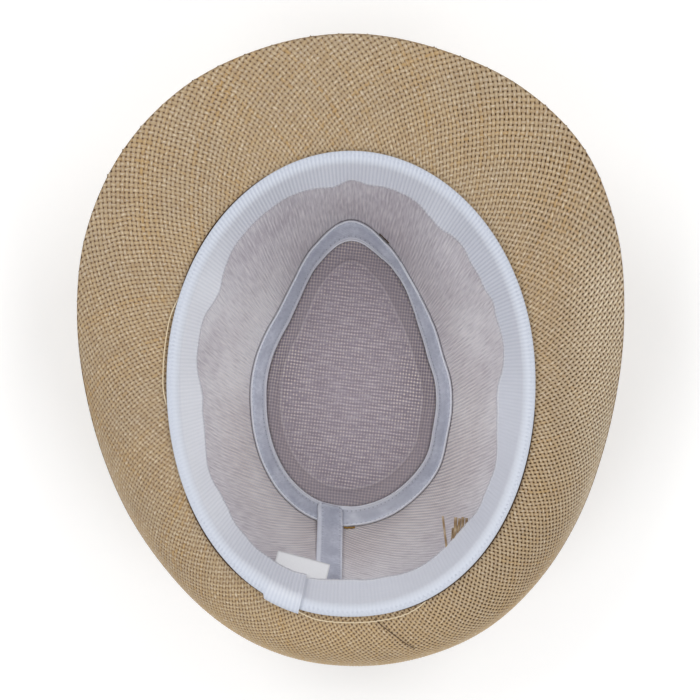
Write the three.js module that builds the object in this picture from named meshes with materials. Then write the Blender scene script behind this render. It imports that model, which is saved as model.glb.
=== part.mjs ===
// Woven straw trilby with a lined teardrop crown, lying on its crown with the opening up.
// Millimetres, +Z up. The front of the hat is towards -Y.
// Bearings are degrees round the crown: 0 at the front, 90 at -X, 180 at the back, 270 at +X.
import * as THREE from 'three';
import { mergeVertices } from 'three/addons/utils/BufferGeometryUtils.js';

// Head opening, measured to the outside of the crown wall
const OPENING = { halfLength: 103, halfWidth: 81.5, squareness: 2, extraSquareness: 0.07 };
const CROWN_HEIGHT = 104;
const CROWN_TILT = 4;

// Where the middle of the opening lies, so that the brim's box is centred on the origin
const CENTRE = new THREE.Vector2(-0.6, 10.9);

// Walls of the layers and the play between them
const GAP = 0.3;
const BRIM_WALL = 1.6;
const STRAW_WALL = 1.2;
const LINING_WALL = 1;
const RIBBON_WALL = 1;

// Each layer's near and far face, counted inwards from the outside of the crown
const STRAW = { near: 0, far: STRAW_WALL };
const LINING = { near: STRAW.far + GAP, far: STRAW.far + GAP + LINING_WALL };
const TAPE = { near: LINING.far + GAP, far: LINING.far + GAP + RIBBON_WALL };
const OVER_TAPE = { near: TAPE.far + GAP, far: TAPE.far + GAP + RIBBON_WALL };

// Brim: width of the cloth, and slope in degrees that it has reached at its edge
const BRIM_INSET = 2;
const BRIM_START_SLOPE = { middle: 1.5, swing: -3.5 };
const BRIM = [
  { bearing: 0, leftWidth: 51, leftSlope: -14, rightWidth: 51, rightSlope: -14 },
  { bearing: 15, leftWidth: 51.5, leftSlope: -13, rightWidth: 52, rightSlope: -13 },
  { bearing: 30, leftWidth: 54.5, leftSlope: -9, rightWidth: 54, rightSlope: -7 },
  { bearing: 45, leftWidth: 56, leftSlope: 0, rightWidth: 54, rightSlope: 3 },
  { bearing: 60, leftWidth: 52, leftSlope: 15, rightWidth: 51.5, rightSlope: 16 },
  { bearing: 75, leftWidth: 48.5, leftSlope: 36, rightWidth: 49.5, rightSlope: 35 },
  { bearing: 90, leftWidth: 48, leftSlope: 55, rightWidth: 48.5, rightSlope: 54 },
  { bearing: 105, leftWidth: 48.5, leftSlope: 68, rightWidth: 47.5, rightSlope: 68 },
  { bearing: 120, leftWidth: 50.5, leftSlope: 76, rightWidth: 46.5, rightSlope: 78 },
  { bearing: 135, leftWidth: 51, leftSlope: 82, rightWidth: 45.5, rightSlope: 84 },
  { bearing: 150, leftWidth: 50.5, leftSlope: 86, rightWidth: 45, rightSlope: 87 },
  { bearing: 165, leftWidth: 46.5, leftSlope: 88, rightWidth: 45, rightSlope: 89 },
  { bearing: 180, leftWidth: 45, leftSlope: 89, rightWidth: 45, rightSlope: 89 },
];

// Teardrop ring of tape inside the ridge: distance of its outer edge from the middle of the opening
const RING = [
  { bearing: 0, left: 81, right: 81 },
  { bearing: 15, left: 71.5, right: 71 },
  { bearing: 30, left: 60, right: 58.5 },
  { bearing: 45, left: 53.5, right: 51.5 },
  { bearing: 60, left: 50, right: 49.5 },
  { bearing: 75, left: 48.5, right: 49.5 },
  { bearing: 90, left: 50.5, right: 50.5 },
  { bearing: 105, left: 53, right: 52.5 },
  { bearing: 120, left: 56.5, right: 56.5 },
  { bearing: 135, left: 63, right: 62 },
  { bearing: 150, left: 67.5, right: 68 },
  { bearing: 165, left: 71.5, right: 72.5 },
  { bearing: 180, left: 73.5, right: 73.5 },
];
const RING_TO_RIDGE = 3.5;
const RIDGE_CORNER = 6;
const RIDGE_LAND = 3;
const CORNER_STEPS = 2;
const WALL_HEIGHTS = [1, 0.8, 0.6, 0.42, 0.26, 0.12, 0];

// Two thumb dents that pinch the crown wall on both sides of the front
const PINCHES = [
  { bearing: 40, depth: 7, spread: 17, height: 0.45, reach: 0.25 },
  { bearing: -40, depth: 4.5, spread: 17, height: 0.45, reach: 0.25 },
];

const PINCH_FADE = 0.25;

// Dent in the top of the crown: distance in from the ridge, at the ridge's middle size, and height of
// each step. Part of the distance grows with the ridge, so that the steps keep the teardrop's shape.
const DENT = [
  { fromRidge: 10.5, height: 0 },
  { fromRidge: 14, height: 1.6 },
  { fromRidge: 18, height: 6 },
  { fromRidge: 22, height: 11 },
  { fromRidge: 26, height: 14.2 },
];
const DENT_MIDDLE = 16;
const RIDGE_MIDDLE_SIZE = 65;

// Sweatband: how far its free edge stands in from the opening
const BAND_WIDTH = 31;
const BAND_LIP = 3.3;
const BAND_BEND = 0.8;
const BAND_BOW = 1.6;
const BAND_DROPS = [0, 0.3, 0.65, 1];
const BAND_EDGE = [
  { bearing: 0, left: 9, right: 9 },
  { bearing: 15, left: 10, right: 9 },
  { bearing: 30, left: 14, right: 9 },
  { bearing: 45, left: 12, right: 10 },
  { bearing: 60, left: 10, right: 12 },
  { bearing: 75, left: 9.5, right: 10 },
  { bearing: 90, left: 13, right: 12 },
  { bearing: 105, left: 12.5, right: 12 },
  { bearing: 120, left: 9.5, right: 10 },
  { bearing: 135, left: 9.5, right: 11 },
  { bearing: 150, left: 10.5, right: 9.5 },
  { bearing: 165, left: 10.5, right: 12 },
  { bearing: 180, left: 12, right: 12 },
];
const BAND_OVER_END = 193;
const BAND_OVERLAP = 9;
const BAND_LIFT_FADE = { from: 12, to: 24 };

// Upright tape over the back seam, and the label: its section is a row for each fold
const SEAM_TAPE = { x: 9.9, width: 12.6, columns: 3, passes: 6 };
const LABEL = { bearing: 195, width: 24, wall: 0.8 };
const LABEL_FOLDS = [
  { radius: 94.5, height: 76 },
  { radius: 91.6, height: 69 },
  { radius: 83.5, height: 60 },
];

// Steps of the solids
const STEPS = 54;
const BRIM_STEPS = 6;
const BAND_STEPS = 72;
const MERGE = 1e-3;

const radians = THREE.MathUtils.degToRad;
const lerp = THREE.MathUtils.lerp;

// Value of a table at a bearing, smooth from row to row and round the back
function fromTable(rows, left, right, bearing) {
  const spacing = rows[1].bearing;
  const count = (rows.length - 1) * 2;
  const value = (index) => {
    const i = THREE.MathUtils.euclideanModulo(index, count);
    return i < rows.length ? rows[i][left] : rows[count - i][right];
  };
  const place = bearing / spacing;
  const row = Math.floor(place);
  const t = place - row;
  const [a, b, c, d] = [value(row - 1), value(row), value(row + 1), value(row + 2)];
  const bend = (2 * a - 5 * b + 4 * c - d) * t * t + (3 * b - a - 3 * c + d) * t * t * t;
  return b + 0.5 * ((c - a) * t + bend);
}

const openingRadius = (bearing) => {
  const angle = radians(bearing);
  const power = OPENING.squareness + OPENING.extraSquareness * (1 - Math.cos(angle));
  const along = Math.abs(Math.cos(angle)) / OPENING.halfLength;
  const across = Math.abs(Math.sin(angle)) / OPENING.halfWidth;
  return (along ** power + across ** power) ** (-1 / power);
};
const openingHeight = (bearing) => CROWN_HEIGHT + CROWN_TILT * Math.cos(radians(bearing));
const ringRadius = (bearing) => fromTable(RING, 'left', 'right', bearing);
const ridgeRadius = (bearing) => ringRadius(bearing) + RING_TO_RIDGE;

// A section point is x = distance from the middle of the opening, y = height
const flat = (radius, height) => new THREE.Vector2(radius, height);

function place(bearing, point) {
  const angle = radians(bearing);
  return new THREE.Vector3(CENTRE.x - point.x * Math.sin(angle), CENTRE.y - point.x * Math.cos(angle), point.y);
}

// The section moved sideways by a distance, to the right of its direction, with mitred corners,
// or straight up where it ends on the axis
function offset(section, distance) {
  const normals = section.slice(1).map((point, i) => {
    const run = point.clone().sub(section[i]).normalize();
    return new THREE.Vector2(run.y, -run.x);
  });
  return section.map((point, i) => {
    if (point.x === 0) return flat(0, point.y + distance);
    const before = normals[Math.max(i - 1, 0)];
    const after = normals[Math.min(i, normals.length - 1)];
    const middle = before.clone().add(after).normalize();
    return point.clone().addScaledVector(middle, distance / middle.dot(after));
  });
}

// Outside of the crown wall at one bearing, from the headline down to the seam in the ridge
function wallSection(bearing) {
  const corner = RIDGE_CORNER;
  const foot = ridgeRadius(bearing);
  const top = openingHeight(bearing) - BRIM_WALL / 2 - GAP;
  const spread = openingRadius(bearing) - foot;
  const lean = Math.atan((Math.PI / 2) * spread / (top - corner));
  const start = flat(foot - corner + corner * Math.cos(lean), corner - corner * Math.sin(lean));
  const wall = WALL_HEIGHTS.map((t) => {
    const radius = start.x + (openingRadius(bearing) - start.x) * Math.sin((Math.PI / 2) * t);
    return flat(radius - pinchDepth(bearing, t), lerp(start.y, top, t));
  });
  for (let i = 1; i <= CORNER_STEPS; i++) {
    const angle = lerp(-lean, -Math.PI / 2, i / CORNER_STEPS);
    wall.push(flat(foot - corner + corner * Math.cos(angle), corner + corner * Math.sin(angle)));
  }
  wall.at(-1).y = 0;
  wall.push(flat(foot - corner - RIDGE_LAND, 0));
  return wall;
}

function pinchDepth(bearing, t) {
  const fade = Math.min(1, t / PINCH_FADE, (1 - t) / PINCH_FADE);
  return PINCHES.reduce((sum, pinch) => {
    const aside = THREE.MathUtils.euclideanModulo(bearing - pinch.bearing + 180, 360) - 180;
    const round = Math.exp(-((aside / pinch.spread) ** 2));
    const upright = Math.exp(-(((t - pinch.height) / pinch.reach) ** 2));
    return sum + pinch.depth * round * upright * fade;
  }, 0);
}

// Outside of the crown's top at one bearing, from the seam in the ridge to the middle
function tipSection(bearing) {
  const ridge = ridgeRadius(bearing);
  const seam = ridge - RIDGE_CORNER - RIDGE_LAND - GAP;
  const steps = DENT.map(({ fromRidge, height }) => {
    const grown = (fromRidge - DENT[0].fromRidge) * (ridge / RIDGE_MIDDLE_SIZE);
    return flat(ridge - DENT[0].fromRidge - grown, height);
  });
  return [flat(seam, 0), ...steps, flat(0, DENT_MIDDLE)];
}

// Middle of the brim's cloth at one bearing, rolled along its own width
function brimSection(bearing) {
  const width = fromTable(BRIM, 'leftWidth', 'rightWidth', bearing);
  const end = fromTable(BRIM, 'leftSlope', 'rightSlope', bearing);
  const start = BRIM_START_SLOPE.middle + BRIM_START_SLOPE.swing * Math.cos(radians(bearing));
  const section = [flat(openingRadius(bearing) - BRIM_INSET, openingHeight(bearing))];
  section.push(flat(openingRadius(bearing), openingHeight(bearing)));
  for (let i = 0; i < BRIM_STEPS; i++) {
    const slope = radians(lerp(start, end, (i + 0.5) / BRIM_STEPS));
    const run = width / BRIM_STEPS;
    section.push(section.at(-1).clone().add(flat(run * Math.cos(slope), -run * Math.sin(slope))));
  }
  return section;
}

// Middle of the sweatband's ribbon at one bearing, from its lip on the brim to its free edge
function bandSection(bearing, lift) {
  const half = RIBBON_WALL / 2;
  const lip = openingHeight(bearing) + BRIM_WALL / 2 + GAP + half;
  const outer = openingRadius(bearing);
  const inward = fromTable(BAND_EDGE, 'left', 'right', bearing);
  const section = [flat(outer, lip), flat(outer - BAND_LIP, lip)];
  BAND_DROPS.forEach((t) => {
    const turned = outer - BAND_LIP - BAND_BEND / 2;
    const radius = turned - (inward - BAND_LIP - BAND_BEND) * t ** BAND_BOW;
    section.push(flat(radius, lip - BAND_BEND - BAND_WIDTH * t));
  });
  return offset(section, lift);
}

// Closed solid between two skins of points, a row for each bearing, with rims at both ends of the rows
function solidBetween(near, far, wraps) {
  const rows = near.length;
  const columns = near[0].length;
  const positions = [...near.flat(), ...far.flat()].flatMap((point) => point.toArray());
  const at = (skin, row, column) => (skin * rows + (row % rows)) * columns + column;
  const index = [];
  const quad = (a, b, c, d) => index.push(a, b, c, a, c, d);
  for (let row = 0; row < (wraps ? rows : rows - 1); row++) {
    const next = row + 1;
    for (let column = 0; column < columns - 1; column++) {
      quad(at(0, row, column), at(0, next, column), at(0, next, column + 1), at(0, row, column + 1));
      quad(at(1, row, column), at(1, row, column + 1), at(1, next, column + 1), at(1, next, column));
    }
    quad(at(0, row, 0), at(1, row, 0), at(1, next, 0), at(0, next, 0));
    const last = columns - 1;
    quad(at(0, row, last), at(0, next, last), at(1, next, last), at(1, row, last));
  }
  if (!wraps) {
    for (let column = 0; column < columns - 1; column++) {
      quad(at(0, 0, column), at(0, 0, column + 1), at(1, 0, column + 1), at(1, 0, column));
      const end = rows - 1;
      quad(at(0, end, column), at(1, end, column), at(1, end, column + 1), at(0, end, column + 1));
    }
  }
  return closedGeometry(positions, index);
}

// Merges equal corners, drops triangles that have shrunk to a line and turns all faces outwards
function closedGeometry(positions, index) {
  const loose = new THREE.BufferGeometry();
  loose.setAttribute('position', new THREE.Float32BufferAttribute(positions, 3));
  loose.setIndex(index);
  const merged = mergeVertices(loose, MERGE);
  const corners = Array.from(merged.index.array);
  const kept = [];
  let volume = 0;
  const point = (i) => new THREE.Vector3().fromBufferAttribute(merged.attributes.position, i);
  for (let i = 0; i < corners.length; i += 3) {
    const [a, b, c] = corners.slice(i, i + 3);
    if (a === b || b === c || c === a) continue;
    kept.push(a, b, c);
    volume += point(a).dot(point(b).cross(point(c)));
  }
  if (volume < 0) kept.reverse();
  merged.setIndex(kept);
  merged.computeVertexNormals();
  return merged;
}

const bearingsRound = Array.from({ length: STEPS }, (_, i) => (360 * i) / STEPS);

// Ring or disc made of one section at every bearing, between two distances from that section
function layer(sectionAt, { near, far }, start = 0) {
  const skin = (distance) =>
    bearingsRound.map((bearing) => {
      const moved = offset(sectionAt(bearing), distance).slice(start);
      return moved.map((point) => place(bearing, point));
    });
  return solidBetween(skin(near), skin(far), true);
}

const brimGeometry = () => layer(brimSection, { near: -BRIM_WALL / 2, far: BRIM_WALL / 2 });
const sideGeometry = (faces) => layer(wallSection, faces);
const tipGeometry = (faces) => layer(tipSection, faces);

function bandGeometry() {
  const turn = 360 + BAND_OVERLAP;
  const skin = (side) =>
    Array.from({ length: BAND_STEPS + 1 }, (_, i) => {
      const run = (turn * i) / BAND_STEPS;
      const bearing = BAND_OVER_END + run;
      const raised = 1 - THREE.MathUtils.smoothstep(run, BAND_LIFT_FADE.from, BAND_LIFT_FADE.to);
      const lift = (RIBBON_WALL + GAP) * raised;
      const section = bandSection(bearing, lift);
      return offset(section, side * RIBBON_WALL / 2).map((point) => place(bearing, point));
    });
  return solidBetween(skin(-1), skin(1), false);
}

// Outside of the whole crown at one bearing, as far as the rim of the dent
const ridgeSection = (bearing) => [...wallSection(bearing), ...tipSection(bearing).slice(1, 3)];
const RING_START = WALL_HEIGHTS.length - 1;

// Tape over the seam in the ridge, from just above its corner to the rim of the dent
const ringTapeGeometry = () => layer(ridgeSection, TAPE, RING_START);

// Tape up the back seam: it starts on the ring tape's inner edge and ends behind the sweatband
function seamTapeGeometry() {
  const wallStart = WALL_HEIGHTS.findIndex((height) => height < 1);
  const skin = (face) => {
    const point = (x, index) => {
      const distance = (index < RING_START ? TAPE : OVER_TAPE)[face];
      let bearing = 180;
      let spot;
      for (let pass = 0; pass < SEAM_TAPE.passes; pass++) {
        spot = offset(ridgeSection(bearing), distance)[index];
        bearing = 180 + THREE.MathUtils.radToDeg(Math.asin((x - CENTRE.x) / spot.x));
      }
      return place(bearing, spot);
    };
    return Array.from({ length: SEAM_TAPE.columns }, (_, column) => {
      const x = SEAM_TAPE.x + SEAM_TAPE.width * (column / (SEAM_TAPE.columns - 1) - 0.5);
      const indices = ridgeSection(180).map((_, index) => index).slice(wallStart);
      return indices.map((index) => point(x, index));
    });
  };
  return solidBetween(skin('near'), skin('far'), false);
}

// Label: a flat strip across its bearing, folded where the sweatband's free edge holds it down
function labelGeometry() {
  const section = LABEL_FOLDS.map((fold) => flat(fold.radius, fold.height));
  const across = new THREE.Vector3(Math.cos(radians(LABEL.bearing)), -Math.sin(radians(LABEL.bearing)), 0);
  const skin = (side) => {
    const row = offset(section, side * LABEL.wall / 2).map((point) => place(LABEL.bearing, point));
    return [-0.5, 0.5].map((end) => row.map((point) => point.clone().addScaledVector(across, end * LABEL.width)));
  };
  return solidBetween(skin(-1), skin(1), false);
}

const WHITE_CLOTH = { color: 0xd2d6df, roughness: 0.85, metalness: 0 };
const STRAW_CLOTH = { color: 0xbea378, roughness: 0.75, metalness: 0 };
const LINING_CLOTH = { color: 0xbcb7ba, roughness: 0.9, metalness: 0 };

const hat = new THREE.Group();
function add(name, geometry, look) {
  const mesh = new THREE.Mesh(geometry, new THREE.MeshStandardMaterial(look));
  mesh.name = name;
  hat.add(mesh);
}

add('brim', brimGeometry(), STRAW_CLOTH);
add('crown_side', sideGeometry(STRAW), STRAW_CLOTH);
add('crown_tip', tipGeometry(STRAW), STRAW_CLOTH);
add('side_lining', sideGeometry(LINING), LINING_CLOTH);
add('tip_lining', tipGeometry(LINING), LINING_CLOTH);
add('sweatband', bandGeometry(), WHITE_CLOTH);
add('tip_tape', ringTapeGeometry(), WHITE_CLOTH);
add('back_seam_tape', seamTapeGeometry(), WHITE_CLOTH);
add('label', labelGeometry(), WHITE_CLOTH);

export default hat;
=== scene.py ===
# Woven straw trilby lying on its crown, seen from above into its lined opening.
# Sizes are in millimetres in the tables and turned to metres where points are placed.
# Bearings are degrees round the crown: 0 at the front (-Y), 90 at -X, 180 at the back, 270 at +X.
import math
import random
from collections import namedtuple
from types import SimpleNamespace

import bmesh
import bpy
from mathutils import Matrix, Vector, noise


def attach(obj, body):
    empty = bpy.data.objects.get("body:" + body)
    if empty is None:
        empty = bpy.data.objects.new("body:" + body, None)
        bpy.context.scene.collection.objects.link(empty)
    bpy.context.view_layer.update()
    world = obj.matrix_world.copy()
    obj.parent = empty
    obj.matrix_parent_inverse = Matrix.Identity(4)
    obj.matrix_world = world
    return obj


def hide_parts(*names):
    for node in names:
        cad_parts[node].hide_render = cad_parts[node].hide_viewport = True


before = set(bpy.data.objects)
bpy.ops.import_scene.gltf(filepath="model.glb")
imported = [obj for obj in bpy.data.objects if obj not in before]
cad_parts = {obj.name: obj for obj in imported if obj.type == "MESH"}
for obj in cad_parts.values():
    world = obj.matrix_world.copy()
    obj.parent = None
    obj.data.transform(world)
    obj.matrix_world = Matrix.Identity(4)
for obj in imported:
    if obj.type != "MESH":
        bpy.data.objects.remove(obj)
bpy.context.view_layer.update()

MM = 0.001
UP = Vector((0, 0, 1))
Sides = namedtuple("Sides", "left right")


def sides(*rows):
    """Table of values on the wearer's left and right, a row for each bearing from front to back."""
    return [Sides(*row) for row in rows]


def linear(level):
    """Linear share of light for the 0 to 255 number of a paint picker."""
    share = level / 255
    return share / 12.92 if share <= 0.04 else ((share + 0.055) / 1.055) ** 2.4


def tones(**paints):
    """Named linear colours with alpha, from the numbers of a paint picker."""
    return SimpleNamespace(**{name: (*map(linear, paint), 1) for name, paint in paints.items()})


# The crown, as in the part's source
OPENING_AXIS = (-0.6, 10.9)
OPENING_HALF_LENGTH = 103
OPENING_HALF_WIDTH = 81.5
OPENING_SQUARENESS = 2
OPENING_EXTRA_SQUARENESS = 0.07
CROWN_HEIGHT = 104
CROWN_TILT = 4

# Walls of the layers and the play between them, and how far in the middle of each lies
GAP = 0.3
BRIM_WALL = 1.6
STRAW_WALL = 1.2
LINING_WALL = 1
RIBBON_WALL = 1
LINING_MIDDLE = STRAW_WALL + GAP + LINING_WALL / 2
LINING_FACE = STRAW_WALL + GAP + LINING_WALL
TAPE_MIDDLE = LINING_FACE + GAP + RIBBON_WALL / 2

# Camera: straight above, the front of the hat at the top of the picture
VIEW_AXIS = (-0.16, -4.6)
VIEW_DISTANCE = 700
VIEW_HEIGHT = CROWN_HEIGHT + VIEW_DISTANCE
PHOTO_WIDTH_AT_OPENING = 310.1
SENSOR = 36

# Brim, a row for each 15 degrees: width of the cloth, slope at its edge, trim to the outline in the photo
BRIM_INSET = 2
BRIM_START_SLOPE = 1.5
BRIM_SLOPE_SWING = -3.5
BRIM_WIDTH = sides(
    (51, 51), (51.5, 52), (54.5, 54), (56, 54), (52, 51.5), (48.5, 49.5), (48, 48.5), (48.5, 47.5),
    (50.5, 46.5), (51, 45.5), (50.5, 45), (46.5, 45), (45, 45))
BRIM_SLOPE = sides(
    (-14, -14), (-13, -13), (-9, -7), (0, 3), (15, 16), (36, 35), (55, 54), (68, 68), (76, 78), (82, 84),
    (86, 87), (88, 89), (89, 89))
BRIM_TRIM = sides(
    (0.1, 0.1), (0.4, 0.5), (0.2, 0.5), (0.5, 0.5), (0.5, 0.4), (0.4, 1.2), (0.4, 1.2), (0.4, 0.8),
    (0.9, 0.5), (0.6, 1.1), (0.5, 1.3), (0.4, 0.9), (0.4, 0.4))

# Outer edge of the ring of tape inside the ridge, a row for each 15 degrees
RING = sides(
    (81, 81), (71.5, 71), (60, 58.5), (53.5, 51.5), (50, 49.5), (48.5, 49.5), (50.5, 50.5), (53, 52.5),
    (56.5, 56.5), (63, 62), (67.5, 68), (71.5, 72.5), (73.5, 73.5))
RING_TO_RIDGE = 3.5
RIDGE_CORNER = 6
RIDGE_LAND = 3
RIDGE_START = 24
RIDGE_MIDDLE_SIZE = 65

# Thumb dents: bearing, depth
PINCHES = [(40, 7), (-40, 4.5)]
PINCH_SPREAD = 17
PINCH_HEIGHT = 0.45
PINCH_REACH = 0.25
PINCH_FADE = 0.25

# Dent in the top: distance in from the ridge and height
DENT = [(10.5, 0), (14, 1.6), (18, 6), (22, 11), (26, 14.2)]
DENT_MIDDLE = 16

# Sweatband: how far its free edge stands in from the opening, a row for each 5 degrees
BAND_WIDTH = 31
BAND_LIP = 3.3
BAND_BEND = 0.8
BAND_SHOULDER = [(0, 0.15), (0.8, 0.8), (1.4, 2), (1.8, 3.6)]
BAND_BOW = 1.15
BAND_EDGE = sides(
    (9, 9), (10.5, 11.5), (10, 10.5), (10, 9.5), (10.5, 9), (12.5, 9), (13.5, 9), (11.5, 9), (11, 9),
    (12, 10), (11.5, 11.5), (11.5, 13), (10, 12), (10.5, 10), (10, 9.5), (9.5, 9.5), (10, 9.5), (11, 10),
    (13, 11.5), (13.5, 12.5), (13, 12), (12.5, 12), (11.5, 11.5), (10, 10.5), (9, 9.5), (9, 9.5),
    (9, 10.5), (8.5, 10.5), (9.5, 9.5), (10, 9.5), (10, 8.5), (9.5, 8.5), (9.5, 8.5), (10, 9), (11, 10),
    (11, 11), (11.5, 11.5))

# Its lapped ends, as degrees from the end on top
BAND_OVER_END = 193
BAND_OVERLAP = 9
BAND_TURN = 360 + BAND_OVERLAP
BAND_LIFT_FADE = (12, 24)
BAND_CORNER = 1.8
BAND_HEM = 1.05
BAND_HEM_SEAM = 0.3

# Its ribs: how many in a turn, their height, and how clearly they show at a bearing
BAND_RIBS = 325
BAND_RIB_STEPS = 6
BAND_RUN_STEPS = 16
BAND_SECTION_STEPS = 24
BAND_RIB_HEIGHT = 0.1
BAND_RIB_SHOWS = [
    (0, 0.8), (30, 1), (60, 0.85), (85, 0.4), (110, 0.12), (150, 0.15), (190, 0.25), (205, 0.6),
    (225, 0.45), (245, 0.22), (270, 0.35), (300, 0.5), (325, 1),
]

# Weave of the straw: strands of its two families, their pitch along each other and their form
BRIM_STRANDS = (352, 208)
CROWN_STRANDS = (272, 160)
STEEP_SHARE = 0.32
CELL_LENGTH = 2.15
STRAND_PITCH = 1.9
STRAND_WIDTH = 1.42
STRAND_WIDTH_AT_HEADLINE = 1.16
STRAND_SPREAD = 0.1
STRAND_WIDEST_AT = 330
STRAND_CROWN = 0.3
STRAND_WAVE = 0.2
STRAND_LIFT = 0.3
WEAVE_WOBBLE = 0.35
RIM_STRAND_WIDTH = 1.7
TIP_WEAVE_TURN = 7
TIP_LINES = 48

# How far in the weave and the dark sheet of painted shade behind it lie
BRIM_WEAVE_INSET = 0.5
CROWN_WEAVE_INSET = 0.75
CROWN_SHADE_SHEET_INSET = 1
SHADE_SHEET_WALL = 0.3

# Side lining: where its cloth's length is true, the angle of its flat arc and where its seam is
LINING_TRUE_AT = 75
LINING_TURN = 2.44
LINING_STRETCH = 0.08
LINING_SEAM = 0.516
LINING_SEWN_WALL = 0.8 * LINING_WALL
SIDE_WRINKLE = 1.6
TIP_WRINKLE = 0.7

# Tapes: where the ring is pulled narrow, the lap of the two, and the upright one
TAPE_PULL = 0.4
TAPE_PULLED_AT = 32
TAPE_PULL_SPREAD = 15
TAPE_LAP_AT = 187
SEAM_TAPE_X = 9.9
SEAM_TAPE_WIDTH = 12.6
SEAM_TAPE_ROUND = 3

# Label: its fold as distance from the middle and height
LABEL_BEARING = 195
LABEL_WIDTH = 25.4
LABEL_WALL = 0.5
LABEL_CURL = 0.6
LABEL_FOLDS = [(94.5, 76), (91.8, 69), (85.1, 60.5)]

# Stitching and lines: zigzags round the lip, the rest as bearings, with distance out where it varies
ZIGZAGS = 290
ZIGZAG_INSETS = (2.3, 0.5)
ZIGZAG_LIFT = 0.12
STITCHES_A_DEGREE = 1.2
BRIM_STITCHES = [(161, 194, 2.6), (264, 296, 1.6)]
HEADLINE_SHADE = [(98, 168), (200, 236), (300, 338)]
BRIM_JOINT = [(174.4, 1.5), (171.6, 7.5), (169.1, 13.8), (166.4, 22)]
GOLD_THREAD_END = (178.5, 182.6)
TAPE_FOLD_SHADE = (11, 15.5)

# Radius of each thread and line
ZIGZAG_RADIUS = 0.17
STITCH_RADIUS = 0.26
SHADE_RADIUS = 0.3
JOINT_RADIUS = 0.19
GOLD_RADIUS = 0.45

# Ends of straw behind the sweatband: place of each foot, its reach, lean and width
STRAW_ENDS = [
    (-44.9, 87, 14, 1.4, 1), (-47.2, 85.4, 7, -1, 0.9), (-46.2, 86.6, 7.5, -3.2, 1),
    (-48.6, 84, 10.5, -1, 1.5), (-50.2, 82.4, 8.4, -1.2, 1.4), (-52, 80.6, 7.2, -1, 1.5),
    (-54, 78.8, 5, -0.6, 1.3), (-56, 77.2, 3, -0.4, 1.2), (-51, 81.6, 5.5, 1.8, 1.2),
    (-49.4, 83.4, 4.5, 1.4, 1.2),
]
STRAW_ENDS_HEIGHT = 72
STRAW_ENDS_DROP = 6

# Seeds of the smooth random values
SALT = {
    "weave": 3.1, "free edge": 5.2, "crease": 2.2, "fold": 6.1,
    "wrinkle": 1.7, "wide wrinkle": 7.7, "tip": 4.4,
}

# Pitches of the woven cloths' threads: side lining, tip lining, tapes, needle holes and label
SIDE_WARP, SIDE_WEFT = 1.71, 1.5
TIP_WARP, TIP_WEFT = 1.48, 1.66
TAPE_WEAVE = 1.2
NEEDLE_PITCH = 2.2
NEEDLES_IN = 1.5
LABEL_ROWS = 0.5

# Colours of the straw, with its painted highlights and painted shade, and of the dark sheet of painted shade
# behind it
STRAW = tones(
    tan=(176, 150, 113), main=(189, 165, 128), grey=(174, 162, 141), cream=(232, 220, 196),
    gold=(187, 154, 102), sheen=(197, 188, 180), warm=(214, 184, 136), fibre=(140, 108, 72),
    shade=(112, 82, 50))
GAP_SHADE = tones(dark=(84, 64, 52), light=(120, 98, 84), deep=(62, 44, 26))

# Colours of the linings, tapes, ribbon and label
SIDE = tones(
    grey=(204, 199, 205), pale=(230, 229, 233), shaded=(168, 161, 172), slub=(244, 240, 240),
    thin=(172, 162, 168), between=(138, 126, 132), straw_through=(246, 230, 210))
TIP = tones(
    grey=(156, 146, 155), pale=(182, 173, 181), slope=(206, 197, 203), between=(106, 94, 106),
    straw_through=(250, 236, 220))
TAPE = tones(
    main=(186, 190, 205), pale=(208, 212, 224), worn=(164, 168, 184), edge=(242, 245, 252),
    hole=(112, 116, 132))
BAND = tones(
    lip=(208, 213, 224), main=(240, 243, 249), pale=(248, 249, 252), shaded=(192, 197, 212),
    selvedge=(246, 248, 252), between=(140, 148, 172))
LABEL = tones(main=(226, 227, 230), pale=(250, 250, 250))
PAPER = tones(main=(250, 250, 250), pale=(255, 255, 255))

# Colours of each thread's two plies, and of the dark lines: the brim's real joint and painted shadow
PLIES = {
    "white_thread": tones(light=(232, 236, 244), dark=(206, 212, 226)),
    "cream_thread": tones(light=(236, 222, 194), dark=(208, 186, 150)),
    "joint_and_shadow_lines": tones(light=(86, 62, 36), dark=(58, 40, 24)),
    "gold_thread": tones(light=(190, 150, 72), dark=(128, 92, 38)),
}

# Soft studio light: name, place, size and power of each lamp, and the spot that they face
WORLD_LIGHT = 0.52
LAMPS = [
    ("left_front", (1.1, -0.9, 1.6), 1, 10), ("right_front", (-1.1, -0.9, 1.6), 1, 8.5),
    ("left_back", (1.1, 0.9, 1.6), 1, 8.5), ("right_back", (-1.1, 0.9, 1.6), 1, 8.5),
]
LAMPS_FACE = (0, 0, 0.05)
FLOOR_HALF_WIDTH = 4
FLOOR_GLOW = 0.12

# Steps of the smooth sheets, and rows of the map that the weaves are baked on
TURN_STEPS = 288
RUN_STEPS = 48
BAKE_ROWS = 4


# Table, section and sheet helpers

def between(a, b, c, d, t):
    """Value a share of the way from b to c, smooth through the values before and after them."""
    bend = (2 * a - 5 * b + 4 * c - d) * t ** 2 + (3 * b - a - 3 * c + d) * t ** 3
    return b + 0.5 * ((c - a) * t + bend)


def from_table(rows, bearing):
    """Value of a table at a bearing, smooth from row to row and round the back."""
    half = len(rows) - 1
    spacing = 180 / half

    def value(index):
        i = index % (2 * half)
        return rows[i].left if i <= half else rows[2 * half - i].right

    row = math.floor(bearing / spacing)
    return between(*(value(row + step) for step in (-1, 0, 1, 2)), bearing / spacing - row)


def smoothstep(value, low, high):
    """0 below low and 1 above high, smooth between them."""
    t = min(1, max(0, (value - low) / (high - low)))
    return t * t * (3 - 2 * t)


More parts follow.
